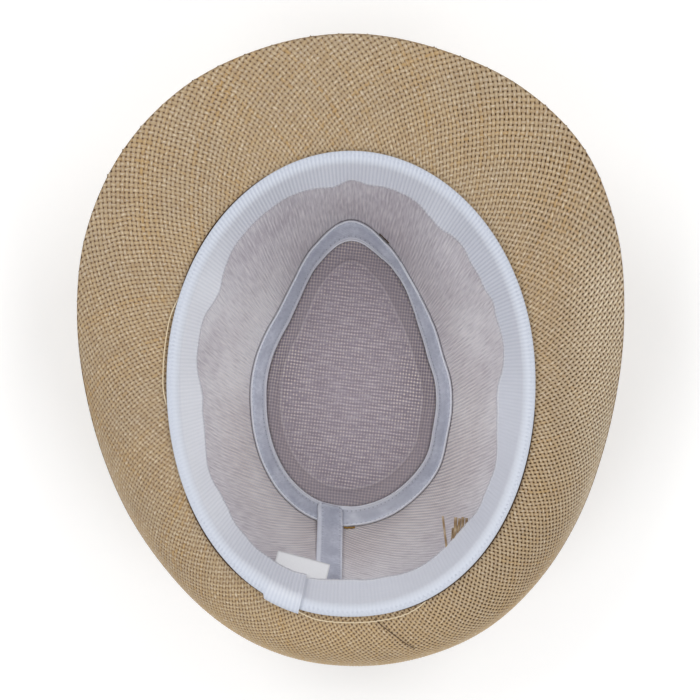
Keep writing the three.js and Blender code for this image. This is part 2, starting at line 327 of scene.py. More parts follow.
def opening_radius(bearing):
    """Distance of the crown wall's outside from the middle of the opening, an ellipse squarer at the back."""
    angle = math.radians(bearing)
    power = OPENING_SQUARENESS + OPENING_EXTRA_SQUARENESS * (1 - math.cos(angle))
    along = abs(math.cos(angle)) / OPENING_HALF_LENGTH
    across = abs(math.sin(angle)) / OPENING_HALF_WIDTH
    return (along ** power + across ** power) ** (-1 / power)


def opening_height(bearing):
    """Height of the opening, which is tilted towards the back."""
    return CROWN_HEIGHT + CROWN_TILT * math.cos(math.radians(bearing))


def ridge_radius(bearing):
    """Distance of the ridge's outside from the middle of the opening."""
    return from_table(RING, bearing) + RING_TO_RIDGE


def place(bearing, spot):
    """Metres in the row's frame for a distance from the middle of the opening and a height."""
    angle = math.radians(bearing)
    x = OPENING_AXIS[0] - spot[0] * math.sin(angle)
    y = OPENING_AXIS[1] - spot[0] * math.cos(angle)
    return Vector((x, y, spot[1])) * MM


def offset(section, distance):
    """The section moved to the right of its direction, with mitred corners."""
    normals = []
    for a, b in zip(section, section[1:]):
        run = Vector((b[0] - a[0], b[1] - a[1])).normalized()
        normals.append(Vector((run.y, -run.x)))
    moved = []
    for i, spot in enumerate(section):
        before = normals[max(i - 1, 0)]
        after = normals[min(i, len(normals) - 1)]
        middle = (before + after).normalized()
        step = distance / middle.dot(after)
        if spot[0] == 0:
            moved.append((0, spot[1] + distance))
        else:
            moved.append((spot[0] + middle.x * step, spot[1] + middle.y * step))
    return moved


def pinch_depth(bearing, t):
    """How far the thumb dents press the wall in, at a share of its height."""
    fade = min(1, t / PINCH_FADE, (1 - t) / PINCH_FADE)
    depth = 0
    for middle, deepest in PINCHES:
        aside = (bearing - middle + 180) % 360 - 180
        around = math.exp(-((aside / PINCH_SPREAD) ** 2))
        upright = math.exp(-(((t - PINCH_HEIGHT) / PINCH_REACH) ** 2))
        depth += deepest * around * upright * fade
    return depth


def wall_section(bearing, steps=24, corner_steps=6):
    """Outside of the crown wall, from the headline down to the seam in the ridge."""
    corner = RIDGE_CORNER
    foot = ridge_radius(bearing)
    top = opening_height(bearing) - BRIM_WALL / 2 - GAP
    spread = opening_radius(bearing) - foot
    lean = math.atan(math.pi / 2 * spread / (top - corner))
    low = (foot - corner + corner * math.cos(lean), corner - corner * math.sin(lean))
    section = []
    for i in range(steps + 1):
        t = 1 - i / steps
        radius = low[0] + (opening_radius(bearing) - low[0]) * math.sin(math.pi / 2 * t)
        section.append((radius - pinch_depth(bearing, t), low[1] + (top - low[1]) * t))
    for i in range(1, corner_steps + 1):
        angle = -lean + (lean - math.pi / 2) * i / corner_steps
        section.append((foot - corner + corner * math.cos(angle), corner + corner * math.sin(angle)))
    section.append((foot - corner - RIDGE_LAND, 0))
    return section


def dent_spots(bearing):
    """Distance and height of each step of the dent, the distances grown with the ridge."""
    ridge = ridge_radius(bearing)
    start = DENT[0][0]
    return [(ridge - start - (inward - start) * ridge / RIDGE_MIDDLE_SIZE, height) for inward, height in DENT]


def smooth_section(spots, steps):
    """A section through a few spots, rounded between them."""
    last = len(spots) - 1
    section = []
    for i in range(last):
        around = [Vector(spots[min(max(i + k, 0), last)]) for k in (-1, 0, 1, 2)]
        section += [tuple(between(*around, j / steps)) for j in range(steps)]
    return section + [spots[-1]]


def tip_section(bearing, distance=0):
    """Crown's top from the seam in the ridge to its middle, a distance inward of its outside."""
    seam = ridge_radius(bearing) - RIDGE_CORNER - RIDGE_LAND - GAP
    spots = offset([(seam, 0)] + dent_spots(bearing) + [(0, DENT_MIDDLE)], distance)
    return spots[:1] + smooth_section(spots[1:], 5)


def brim_section(bearing, steps=20):
    """Middle of the brim's cloth, from inside the headline to its edge, trimmed to its outline."""
    width = from_table(BRIM_WIDTH, bearing)
    end = from_table(BRIM_SLOPE, bearing)
    start = BRIM_START_SLOPE + BRIM_SLOPE_SWING * math.cos(math.radians(bearing))
    radius = opening_radius(bearing)
    height = opening_height(bearing)
    section = [(radius - BRIM_INSET, height), (radius, height)]
    for i in range(steps):
        slope = math.radians(start + (end - start) * (i + 0.5) / steps)
        radius += width / steps * math.cos(slope)
        height -= width / steps * math.sin(slope)
        section.append((radius - from_table(BRIM_TRIM, bearing) * (i + 1) / steps, height))
    return section


def walked(points):
    """Length walked to each point of a polyline."""
    lengths = [0]
    for a, b in zip(points, points[1:]):
        lengths.append(lengths[-1] + (b - a).length)
    return lengths


def path_length(points):
    """Length of a polyline."""
    return walked(points)[-1]


def even_places(points, steps):
    """Places at equal lengths along a polyline, each a point's index and the share of the way to the next."""
    lengths = walked(points)
    places = []
    i = 0
    for step in range(steps + 1):
        goal = lengths[-1] * step / steps
        while i < len(points) - 2 and lengths[i + 1] < goal:
            i += 1
        places.append((i, (goal - lengths[i]) / (lengths[i + 1] - lengths[i])))
    return places


def resample(points, steps):
    """Points at equal lengths along a polyline."""
    return [points[i].lerp(points[i + 1], share) for i, share in even_places(points, steps)]


def even_bearings(count):
    """Bearings at equal steps of length round the opening, starting at the front."""
    fine = 1440
    spots = [place(360 * i / fine, (opening_radius(360 * i / fine), 0)) for i in range(fine + 1)]
    return [360 * (i + share) / fine for i, share in even_places(spots, count)[:-1]]


class Sheet:
    """A surface round the crown: turn goes once round it, run goes along its section, both from 0 to 1."""

    def __init__(self, section, distance=0):
        bearings = even_bearings(TURN_STEPS)
        self.rows = [resample([place(b, spot) for spot in offset(section(b), distance)], RUN_STEPS)
                     for b in bearings]
        self.normals = [[self.normal_at(i, j) for j in range(RUN_STEPS + 1)] for i in range(TURN_STEPS)]

    def normal_at(self, i, j):
        low, high = max(j - 1, 0), min(j + 1, RUN_STEPS)
        round_it = self.rows[(i + 1) % TURN_STEPS][j] - self.rows[i - 1][j]
        along = self.rows[i][high] - self.rows[i][low]
        return along.cross(round_it).normalized()

    def blend(self, table, turn, run):
        row, aside = divmod(turn % 1 * TURN_STEPS, 1)
        column, down = divmod(min(max(run, 0), 1) * RUN_STEPS, 1)
        i, j = int(row) % TURN_STEPS, int(column)
        k, m = (i + 1) % TURN_STEPS, min(j + 1, RUN_STEPS)
        near = table[i][j].lerp(table[i][m], down)
        far = table[k][j].lerp(table[k][m], down)
        return near.lerp(far, aside)

    def point(self, turn, run, lift=0):
        return self.blend(self.rows, turn, run) + self.normal(turn, run) * lift

    def normal(self, turn, run):
        return self.blend(self.normals, turn, run)

    def perimeter(self, run):
        ring = [self.point(i / TURN_STEPS, run) for i in range(TURN_STEPS)]
        return path_length(ring + ring[:1]) / MM

    def length(self):
        return sum(path_length(row) for row in self.rows) / len(self.rows) / MM


# Mesh helpers

def add_object(name, data):
    """New object of the scene, at the origin."""
    obj = bpy.data.objects.new(name, data)
    bpy.context.scene.collection.objects.link(obj)
    return obj


def add_mesh(name, bm, finish):
    """New object for a bmesh, in one finish."""
    mesh = bpy.data.meshes.new(name)
    bm.to_mesh(mesh)
    bm.free()
    mesh.materials.append(finish)
    return add_object(name, mesh)


def finished(name, bm, finish, replaced=None):
    """Turns a bmesh into a smooth piece that rides on the hat and stands for its node."""
    obj = add_mesh(name, bm, finish)
    obj.data.polygons.foreach_set("use_smooth", [True] * len(obj.data.polygons))
    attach(obj, "root")
    if replaced:
        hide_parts(replaced)
    return obj


def inset(share, margin):
    """Share of a map's length, moved in from both of its ends."""
    return margin + (1 - 2 * margin) * share


def skin(rows, goes_round=True, bake_rows=1, flat=None):
    """Grid laid over rows of points, closed where it meets itself, facing the normals of a Sheet."""
    rows = rows + rows[:1] if goes_round else rows
    turns, runs = len(rows) - 1, len(rows[0]) - 1
    size = (path_length([row[runs // 2] for row in rows]) / MM, path_length(rows[turns // 2]) / MM)
    bm = bmesh.new()
    cloth = bm.loops.layers.uv.new("cloth")
    baked = bm.loops.layers.uv.new("OFBake")
    bmesh.ops.create_grid(bm, x_segments=turns, y_segments=runs, size=0.5)
    for face in bm.faces:
        row = math.floor((face.calc_center_median().x + 0.5) * bake_rows)
        for loop in face.loops:
            u, v = loop.vert.co.x + 0.5, loop.vert.co.y + 0.5
            loop[cloth].uv = flat(u, v * size[1]) if flat else (u * size[0], v * size[1])
            loop[baked].uv = (inset(u * bake_rows - row, 0.01), (row + inset(v, 0.02)) / bake_rows)
    for vert in bm.verts:
        vert.co = rows[round((vert.co.x + 0.5) * turns)][round((vert.co.y + 0.5) * runs)]
    bmesh.ops.remove_doubles(bm, verts=bm.verts, dist=1e-6)
    bm.normal_update()
    return bm


def give_wall(bm, wall):
    """Makes a closed wall of a skin, half to each side of it."""
    bm.normal_update()
    for vert in bm.verts:
        vert.co += vert.normal * wall / 2
    bmesh.ops.solidify(bm, geom=bm.faces, thickness=wall)
    if bm.calc_volume(signed=True) < 0:
        bmesh.ops.reverse_faces(bm, faces=bm.faces)
    return bm


def sewn(name, rows, wall, finish, slot, replaced=None, **laid):
    """Piece of cloth with a wall, laid over rows of points as skin does."""
    return finished(name, give_wall(skin(rows, **laid), wall * MM), finish, replaced)


def thread(name, paths, radius, finish, roundness=1):
    """Round thread along one or more lines of points, as one piece."""
    curve = bpy.data.curves.new(name, "CURVE")
    curve.dimensions = "3D"
    curve.bevel_depth = radius * MM
    curve.bevel_resolution = roundness
    curve.use_fill_caps = True
    for points in paths:
        spline = curve.splines.new("POLY")
        spline.points.add(len(points) - 1)
        for spot, point in zip(spline.points, points):
            spot.co = (*point, 1)
    drawn = bpy.data.objects.new(name, curve)
    bm = bmesh.new()
    bm.from_mesh(drawn.to_mesh())
    drawn.to_mesh_clear()
    bpy.data.objects.remove(drawn)
    return finished(name, bm, finish)


# Woven straw

def strand(bm, layers, spots, ups, width, seed, baked_at, cuts=None, phases=None, narrowed=1.0):
    """Flat strand with a raised middle along a line of spots, cut off along the edges it ends on."""
    facts, baked = layers
    steps = len(spots) - 1
    made = bmesh.ops.create_grid(bm, x_segments=steps, y_segments=2, size=0.5)
    sides = []
    for i in range(steps + 1):
        along = spots[min(i + 1, steps)] - spots[max(i - 1, 0)]
        sides.append(ups[i].cross(along).normalized())
    for i, cut in zip((0, steps), cuts or ()):
        sides[i] = cut / cut.dot(sides[i])
    for vert in made["verts"]:
        i, j = round((vert.co.x + 0.5) * steps), round((vert.co.y + 0.5) * 2) - 1
        crown = STRAND_CROWN * MM if j == 0 else 0
        wide = width * (narrowed + (1 - narrowed) * i / steps)
        vert.co = spots[i] + sides[i] * (j * wide / 2) + ups[i] * crown
        vert[facts] = (phases[i] if phases else i * STRAND_PITCH, j, seed)
        for loop in vert.link_loops:
            loop[baked].uv = baked_at(i, j)


def straw_mesh():
    """Empty mesh for strands, and its layers for what the straw's finish reads and for its map."""
    bm = bmesh.new()
    return bm, (bm.verts.layers.float_vector.new("strand"), bm.loops.layers.uv.new("OFBake"))


def ripple(turn, run, kind):
    """Smooth random value from -1 to 1 that closes on itself round the hat."""
    angle = math.tau * turn
    return noise.noise(Vector((6 * math.cos(angle), 6 * math.sin(angle), run * 8 + SALT[kind])))


def crossing_runs(sheet, strands):
    """Run along the section by the turn that the two families have moved apart, for cells of even pitch."""
    steps, length = 400, sheet.length()
    apart, rows = 0, [(0, 0)]
    for step in range(steps):
        along = sheet.perimeter((step + 0.5) / steps) * STEEP_SHARE / strands[1]
        rise = math.sqrt(CELL_LENGTH ** 2 - along ** 2) * strands[1]
        apart += length / steps / rise
        rows.append((apart, (step + 1) / steps))
    return rows


def run_at(rows, apart):
    """Run for a turn between the families, from the rows of crossing_runs."""
    i = min(int(apart / rows[-1][0] * (len(rows) - 1)), len(rows) - 2)
    while rows[i + 1][0] < apart and i < len(rows) - 2:
        i += 1
    while rows[i][0] > apart:
        i -= 1
    (a, low), (b, high) = rows[i], rows[i + 1]
    return min(low + (high - low) * (apart - a) / (b - a), 1)


def wound_strand(sheet, rows, up, strands, family, index):
    """Spots of one strand at its crossings, with the ups, phases and end cuts that go with them."""
    own, other = strands[family], strands[1 - family]
    lean = STEEP_SHARE - family
    total = rows[-1][0]
    first = index * other / own
    if family:
        last = first + total * other
        knots = range(math.floor(first) + 1, math.ceil(last))
    else:
        last = first - total * other
        knots = range(math.ceil(first) - 1, math.floor(last), -1)
    spots, ups, phases = [], [], []
    for crossing in (first, *knots, last):
        apart = abs(crossing - first) / other
        run = run_at(rows, apart)
        turn = index / own - lean * apart
        turn += ripple(turn, run, "weave") * WEAVE_WOBBLE / strands[0]
        count = crossing + index + family
        phases.append(count * STRAND_PITCH)
        ups.append(sheet.normal(turn, run) * up)
        lift = STRAND_LIFT + math.cos(math.pi * count) * STRAND_WAVE
        spots.append(sheet.point(turn, run) + ups[-1] * lift * MM)
    ends = ((index / own, 0), (index / own - lean * total, 1))
    cuts = [sheet.point(end + 0.002, run) - sheet.point(end - 0.002, run) for end, run in ends]
    return spots, ups, phases, cuts


def bias_weave(name, sheet, up, finish, strands, replaced=None):
    """Plain weave wound round the sheet: a steep family of strands one way, a flatter one the other way."""
    luck = random.Random(name)
    rows = crossing_runs(sheet, strands)
    bm, layers = straw_mesh()
    for family, own in enumerate(strands):
        for index in range(own):
            spots, ups, phases, cuts = wound_strand(sheet, rows, up, strands, family, index)

            def baked_at(i, j):
                row, aside = divmod(index, own // BAKE_ROWS)
                along = inset(i / (len(spots) - 1), 0.02)
                across = (aside + 0.5 + j * 0.45) / (own // BAKE_ROWS)
                return across, (row + family * BAKE_ROWS + along) / (2 * BAKE_ROWS)

            close = 1 + STRAND_SPREAD * math.cos(math.tau * index / own - math.radians(STRAND_WIDEST_AT))
            width = STRAND_WIDTH * MM * close * luck.uniform(0.94, 1.05)
            seed = (2 * family - 1) * (0.01 + 0.99 * luck.random())
            strand(bm, layers, spots, ups, width, seed, baked_at, cuts, phases,
                   narrowed=STRAND_WIDTH_AT_HEADLINE / STRAND_WIDTH)
    return finished(name, bm, finish, replaced)


def rim_strand(sheet, finish):
    """Straw pressed along the brim's edge, over the cut ends of the weave."""
    luck = random.Random("rim")
    bm, layers = straw_mesh()
    parts, steps = 8, 90
    for part in range(parts):
        spots, ups = [], []
        for i in range(steps + 2):
            turn = (part + i / steps) / parts
            edge = sheet.point(turn, 1)
            ups.append((edge - sheet.point(turn, 0.97)).normalized())
            spots.append(edge - ups[-1] * 0.1 * MM)
        strand(bm, layers, spots, ups, RIM_STRAND_WIDTH * MM, luck.random(),
               lambda i, j: (i / (steps + 1), (part + 0.5 + 0.45 * j) / parts))
    return finished("brim_rim_straw", bm, finish)


def height_in(section, radius):
    """Height of a section at a distance from the middle."""
    for a, b in zip(section, section[1:]):
        if b[0] <= radius <= a[0]:
            return b[1] + (a[1] - b[1]) * (radius - b[0]) / max(a[0] - b[0], 1e-9)
    return section[0][1] if radius > section[0][0] else section[-1][1]


def tip_weave(finish):
    """Plain weave laid straight across the crown's top, cut off at its seam."""
    luck = random.Random("crown_tip_weave")
    bm, layers = straw_mesh()
    turn = math.radians(TIP_WEAVE_TURN)
    sections = [tip_section(bearing, CROWN_WEAVE_INSET) for bearing in range(360)]
    for family in (0, 1):
        for line in range(-TIP_LINES, TIP_LINES + 1):
            spots, first = [], 0
            for k in range(-2 * TIP_LINES, 2 * TIP_LINES + 1):
                along, across = k * STRAND_PITCH / 2, line * STRAND_PITCH
                p, q = (along, across) if family else (across, along)
                x, y = p * math.cos(turn) - q * math.sin(turn), p * math.sin(turn) + q * math.cos(turn)
                bearing, radius = math.degrees(math.atan2(-x, -y)) % 360, math.hypot(x, y)
                section = sections[round(bearing) % 360]
                if radius < section[0][0]:
                    first = first or k
                    over = math.cos(math.pi * (k / 2 + line)) * (2 * family - 1) * STRAND_WAVE
                    spots.append(place(bearing, (radius, height_in(section, radius) - STRAND_LIFT - over)))

            def baked_at(i, j):
                across = (line + 0.5 + j * 0.45 + TIP_LINES) / (2 * TIP_LINES + 1)
                return (family + across) / 2, (first + i + 2 * TIP_LINES) / (4 * TIP_LINES)

            if len(spots) > 2:
                width = STRAND_WIDTH * MM * luck.uniform(0.9, 1.06)
                strand(bm, layers, spots, [-UP] * len(spots), width, luck.random(), baked_at)
    return finished("crown_tip_weave", bm, finish)


# Cloth and ribbon

def sheet_rows(sheet, lift=lambda turn, run: 0, reach=lambda turn: 1):
    """Rows of points on a sheet, each lifted by a distance in millimetres, as far as its reach."""
    rows = []
    for i in range(TURN_STEPS):
        row = []
        for j in range(RUN_STEPS + 1):
            turn, run = i / TURN_STEPS, j / RUN_STEPS
            row.append(sheet.point(turn, run * reach(turn), lift(turn, run) * MM))
        rows.append(row)
    return rows


def cloth_ring(name, sheet, wall, finish, slot, replaced=None, lift=lambda turn, run: 0):
    """Closed ring or disc of cloth round the crown."""
    return sewn(name, sheet_rows(sheet, lift), wall, finish, slot, replaced)


def side_wrinkles(turn, run):
    """Lift of the side lining's soft folds, away from its sewn edges."""
    away_from_edges = smoothstep(run, 0.2, 0.35) * (1 - smoothstep(run, 0.55, 0.72))
    folds = ripple(turn * 4, run * 0.25, "wrinkle") * 0.5 + ripple(turn, run * 0.4, "wide wrinkle")
    return SIDE_WRINKLE * away_from_edges * max(0, folds)


def tip_wrinkles(turn, run):
    """Lift of the tip lining's soft folds, between the slope of the dent and its middle."""
    on_slope = smoothstep(run, 0.3, 0.5) * (1 - smoothstep(run, 0.7, 0.9))
    return TIP_WRINKLE * on_slope * max(0, ripple(turn, run, "tip"))


def side_lining(finish):
    """Lining of the crown's side, joined at the back, each place mapped to where it lay in its flat cloth."""
    sheet = Sheet(wall_section, LINING_MIDDLE)
    rows = sheet_rows(sheet, side_wrinkles)
    first = round(LINING_SEAM * TURN_STEPS)
    rows = rows[first:] + rows[:first]
    step = sheet.perimeter(LINING_TRUE_AT / sheet.length()) / TURN_STEPS
    x, y, line = 0, 0, []
    for i in range(TURN_STEPS + 1):
        share = i / TURN_STEPS - 1 + LINING_SEAM
        heading = math.copysign(LINING_TURN * abs(share) ** 1.5, share)
        eased = 1 - LINING_STRETCH * smoothstep(abs(share), 0.25, 0.42)
        line.append((x, y, heading, eased))
        x, y = x + step * eased * math.cos(heading), y - step * eased * math.sin(heading)

    def flat(u, v):
        x, y, heading, eased = line[round(u * TURN_STEPS)]
        inward = (v - LINING_TRUE_AT) * eased
        return x - inward * math.sin(heading), y - inward * math.cos(heading)

    return sewn("side_lining_cloth_ring", rows, LINING_SEWN_WALL, finish, "lining_cloth", "side_lining",
                bake_rows=BAKE_ROWS, flat=flat)


def band_section(bearing, run, steps):
    """Middle of the sweatband's ribbon, from its lip on the brim to its free edge."""
    raised = 1 - smoothstep(run, *BAND_LIFT_FADE)
    lip = opening_height(bearing) + BRIM_WALL / 2 + GAP + RIBBON_WALL / 2
    outer = opening_radius(bearing)
    inward = from_table(BAND_EDGE, bearing)
    stands_out = BAND_CORNER * (1 - smoothstep(run, BAND_OVERLAP, BAND_OVERLAP + 1))
    section = [(outer + stands_out, lip), (outer - BAND_LIP * 0.6, lip)]
    section += [(outer - BAND_LIP - inset, lip - drop) for inset, drop in BAND_SHOULDER]
    inset, drop = BAND_SHOULDER[-1]
    for i in range(1, steps + 1):
        t = i / steps
        radius = outer - BAND_LIP - inset - (inward - BAND_LIP - inset) * t ** BAND_BOW
        section.append((radius, lip - drop - (BAND_WIDTH + BAND_BEND - drop) * t))
    return offset(section, (RIBBON_WALL + GAP) * raised)


def ribs_show(bearing):
    """How clearly the ribbon's ribs stand out at a bearing, from 0 to 1."""
    rows = BAND_RIB_SHOWS + [(360, BAND_RIB_SHOWS[0][1])]
    for (a, low), (b, high) in zip(rows, rows[1:]):
        if bearing <= b:
            return low + (high - low) * smoothstep(bearing, a, b)


def sweatband():
    """Grosgrain ribbon sewn in by its lip, one end lapped over the other at the back."""
    one_turn = even_bearings(BAND_RIBS * BAND_RIB_STEPS)
    bearings = one_turn + [bearing + 360 for bearing in one_turn]
    rows = []
    for i, bearing in enumerate(b for b in bearings if BAND_OVER_END <= b <= BAND_OVER_END + BAND_TURN):
        run = bearing - BAND_OVER_END
        points = [place(bearing, spot) for spot in band_section(bearing, run, BAND_SECTION_STEPS)]
        row = resample(points, BAND_RUN_STEPS)
        shows = ribs_show(bearing % 360)
        rib = BAND_RIB_HEIGHT * (0.3 + 0.7 * shows) * (0.5 + 0.5 * math.cos(math.tau * i / BAND_RIB_STEPS))
        hem_seam = 0.12 if BAND_HEM <= run < BAND_HEM + BAND_HEM_SEAM else 0
        for j, point in enumerate(row):
            selvedge = 0.16 if j in (0, BAND_RUN_STEPS) else 0
            selvedge += 0.15 if run < BAND_HEM else 0
            edge_wave = 0.35 * ripple(run / 30, 0, "free edge") * smoothstep(j / BAND_RUN_STEPS, 0.5, 1)
            inward = Vector((OPENING_AXIS[0] * MM - point.x, OPENING_AXIS[1] * MM - point.y, 0)).normalized()
            rise = inward if j > 2 else UP
            row[j] = point + rise * (rib + selvedge + max(edge_wave, 0) - hem_seam) * MM
        rows.append(row)
    middle = path_length([row[BAND_RUN_STEPS // 2] for row in rows]) / MM
    finish = grosgrain_finish(middle, middle * BAND_RIB_STEPS / (len(rows) - 1))
    return sewn("sweatband_ribbon", rows, RIBBON_WALL, finish, "grosgrain_ribbon", "sweatband",
                goes_round=False, bake_rows=BAKE_ROWS)


def ridge_section(bearing, distance=0):
    """Whole crown's section as far as the rim of the dent, a distance inward of its outside."""
    return offset(wall_section(bearing) + dent_spots(bearing)[:2], distance)


def ring_tape():
    """Tape over the seam in the ridge, with a raised cord along both of its edges."""
    sheet = Sheet(lambda bearing: ridge_section(bearing, TAPE_MIDDLE)[RIDGE_START:])

    def edge(turn, run):
        """Raised edges, and a soft crease that wanders along the middle."""
        crease = 0.5 + 0.12 * ripple(turn, 0, "crease")
        folded = (1 - smoothstep(abs(run - crease), 0.02, 0.22)) * max(0, ripple(turn * 2, 0, "fold") + 0.4)
        raised = 1 - smoothstep(min(run, 1 - run), 0.02, 0.1)
        lapped = 1 - smoothstep(abs(turn * 360 - TAPE_LAP_AT), 5, 8)
        return (0.5 * raised + 0.35 * folded) * (1 - lapped)

    def reach(turn):
        """The tape is pulled narrow where it is folded, to the front's right."""
        return 1 - TAPE_PULL * math.exp(-((turn * 360 - TAPE_PULLED_AT) / TAPE_PULL_SPREAD) ** 2)

    finish = tape_finish("ridge_tape_cloth", sheet.length(), across_turns=False)
    return sewn("ridge_tape", sheet_rows(sheet, edge, reach), RIBBON_WALL, finish, "seam_tape", "tip_tape",
                bake_rows=BAKE_ROWS)


def back_seam_tape():
    """Tape up the back seam, its rounded end lapped over the ring tape."""
    columns, steps, fine_steps = 20, 80, 400
    half = SEAM_TAPE_WIDTH / 2
    rows = []
    for column in range(columns + 1):
        across = (column / columns * 2 - 1) * half
        x = SEAM_TAPE_X + across
        points = []
        bearing = 180
        for index in range(1, len(ridge_section(180))):
            over = smoothstep(index, RIDGE_START - 4, RIDGE_START)
            middle = TAPE_MIDDLE + (RIBBON_WALL + GAP) * over
            for _ in range(6):
                spot = ridge_section(bearing, middle)[index]
                bearing = 180 + math.degrees(math.asin((x - OPENING_AXIS[0]) / spot[0]))
            points.append(place(bearing, spot))
        into_corner = max(0, abs(across) - (half - SEAM_TAPE_ROUND))
        cut = SEAM_TAPE_ROUND - math.sqrt(SEAM_TAPE_ROUND ** 2 - into_corner ** 2)
        fine = resample(points, fine_steps)
        kept = fine[:round(fine_steps * (1 - cut * MM / path_length(fine))) + 1]
        raised = 0.12 * (1 - smoothstep(half - abs(across), 0.3, 1.2))
        rows.append([point + Vector((0, -0.8, 0.6)) * raised * MM for point in resample(kept, steps)])
    finish = tape_finish("back_tape_cloth", SEAM_TAPE_WIDTH, across_turns=True)
    return sewn("seam_tape_up_the_back", rows, RIBBON_WALL, finish, "seam_tape", "back_seam_tape",
                goes_round=False)


def label(finish):
    """Bare folded label, held behind the free edge of the sweatband."""
    columns, steps = 24, 16
    points = [place(LABEL_BEARING, spot) for spot in smooth_section(LABEL_FOLDS, 8)]
    angle = math.radians(LABEL_BEARING)
    across = Vector((math.cos(angle), -math.sin(angle), 0)) * MM
    rows = []
    for i in range(columns + 1):
        aside = i / columns - 0.5
        curl = UP * MM * LABEL_CURL * (2 * aside) ** 2
        rows.append([point + across * aside * LABEL_WIDTH + curl * k / steps
                     for k, point in enumerate(resample(points, steps))])
    return sewn("bare_label", rows, LABEL_WALL, finish, "label_cloth", "label", goes_round=False)


# Stitching and loose ends

def brim_spot(bearing, outward, above=0):
    """Place on the brim's upper face, a distance outward from the opening along its cloth."""
    section = brim_section(bearing, 40)[1:]
    walked = 0
    for a, b in zip(section, section[1:]):
        step = math.hypot(b[0] - a[0], b[1] - a[1])
        if walked + step >= outward:
            t = (outward - walked) / step
            slope = Vector((b[0] - a[0], b[1] - a[1])).normalized()
            spot = Vector(a).lerp(Vector(b), t) + Vector((-slope.y, slope.x)) * (BRIM_WALL / 2 + above)
            return place(bearing, spot)
        walked += step
    return place(bearing, section[-1])


def stretch(start, end, steps, spot):
    """Points along a stretch of bearings, each the spot for its bearing and its share of the way."""
    return [spot(start + (end - start) * i / steps, i / steps) for i in range(steps + 1)]


def band_zigzag():
    """Zigzag stitches that hold the ribbon's lip to the brim."""
    points = []
    for i in range(2 * ZIGZAGS + 1):
        run = BAND_OVERLAP + 360 * i / (2 * ZIGZAGS)
        radius, lip = band_section(BAND_OVER_END + run, run, 1)[0]
        spot = (radius - ZIGZAG_INSETS[i % 2], lip + RIBBON_WALL / 2 + ZIGZAG_LIFT)
        points.append(place(BAND_OVER_END + run, spot))
    finish = thread_finish("white_thread")
    return thread("lip_zigzag", [points], ZIGZAG_RADIUS, finish, 0)


def brim_stitch():
    """Cream thread of the headline seam, where it shows beside the ribbon."""
    paths = []
    for start, end, outward in BRIM_STITCHES:
        steps = round((end - start) * STITCHES_A_DEGREE)

        def spot(bearing, t):
            out_from_seam = min(1, 0.12 + t * 4, 0.12 + (1 - t) * 4)
            above = 0.55 + 0.25 * math.cos(math.pi * t * steps)
            return brim_spot(bearing, outward * math.sin(math.pi / 2 * out_from_seam), above)

        paths.append(stretch(start, end, steps, spot))
    finish = thread_finish("cream_thread")
    return thread("headline_stitches", paths, STITCH_RADIUS, finish)


def headline_shade(finish):
    """Dark line of painted shadow beside the ribbon, where the lip stands off the straw."""
    def spot(bearing, t):
        return brim_spot(bearing, 0.1 + 0.35 * math.sin(math.pi * t), 0.1)

    paths = [stretch(start, end, round(end - start), spot) for start, end in HEADLINE_SHADE]
    return thread("headline_shade", paths, SHADE_RADIUS, finish)


def brim_joint(finish):
    """Dark line where the straw of the brim is joined at the back."""
    points = [brim_spot(bearing, outward, 0.25) for bearing, outward in smooth_section(BRIM_JOINT, 8)]
    return thread("brim_joint", [points], JOINT_RADIUS, finish)


def tape_line(name, ends, radius, finish):
    """Line that shows along the outer edge of the ring tape."""
    def spot(bearing, t):
        middle = LINING_FACE + radius + 0.15 * math.sin(15.6 * t)
        before, at = ridge_section(bearing, middle)[RIDGE_START - 1:RIDGE_START + 1]
        return place(bearing, Vector(at).lerp(Vector(before), 0.25))

    return thread(name, [stretch(*ends, 12, spot)], radius, finish)


def straw_ends(finish):
    """Ends of straw that stand out from behind the free edge of the sweatband."""
    luck = random.Random("straw ends")
    bm, layers = straw_mesh()
    for x, y, reach, lean, width in STRAW_ENDS:
        foot = Vector((x, y, STRAW_ENDS_HEIGHT)) * MM
        tip = foot + Vector((lean, -reach, -STRAW_ENDS_DROP)) * MM
        spots = [foot.lerp(tip, k / 4) + UP * 0.2 * math.sin(k) * MM for k in range(5)]
        strand(bm, layers, spots, [UP] * 5, width * MM, luck.random(), lambda i, j: (i / 4, j / 2 + 0.5))
    return finished("straw_ends", bm, finish)


# Materials

def adds_node(operation, swapped=False):
    """Method for an operator on two values, which adds its Math node."""
    def method(self, other):
        return self.math(operation, *((other, self) if swapped else (self, other)))
    return method


class Val:
    """A socket in a material: sums and products of it add their Math nodes."""

    __add__ = __radd__ = adds_node("ADD")
    __sub__ = adds_node("SUBTRACT")
    __rsub__ = adds_node("SUBTRACT", swapped=True)
    __mul__ = __rmul__ = adds_node("MULTIPLY")
    __truediv__ = adds_node("DIVIDE")
    __gt__ = adds_node("GREATER_THAN")
    least = adds_node("MINIMUM")
    most = adds_node("MAXIMUM")

    def __init__(self, finish, socket):
        self.finish, self.socket = finish, socket

    def __abs__(self):
        return self.math("ABSOLUTE", self)

    def math(self, operation, *values):
        return self.finish.node("Math", {"operation": operation}, dict(enumerate(values)))

    def cosine(self):
        return self.math("COSINE", self)

    def lines(self, pitch, slack=0):
        """1 on even lines this far apart and 0 between them, moved aside by their slack."""
        return (self * (math.tau / pitch) + slack).cosine() * 0.5 + 0.5

    def fade(self, low, high):
        """0 below low and 1 above high, smooth between them."""
        return self.finish.node("MapRange", {"interpolation_type": "SMOOTHSTEP"}, {0: self, 1: low, 2: high})


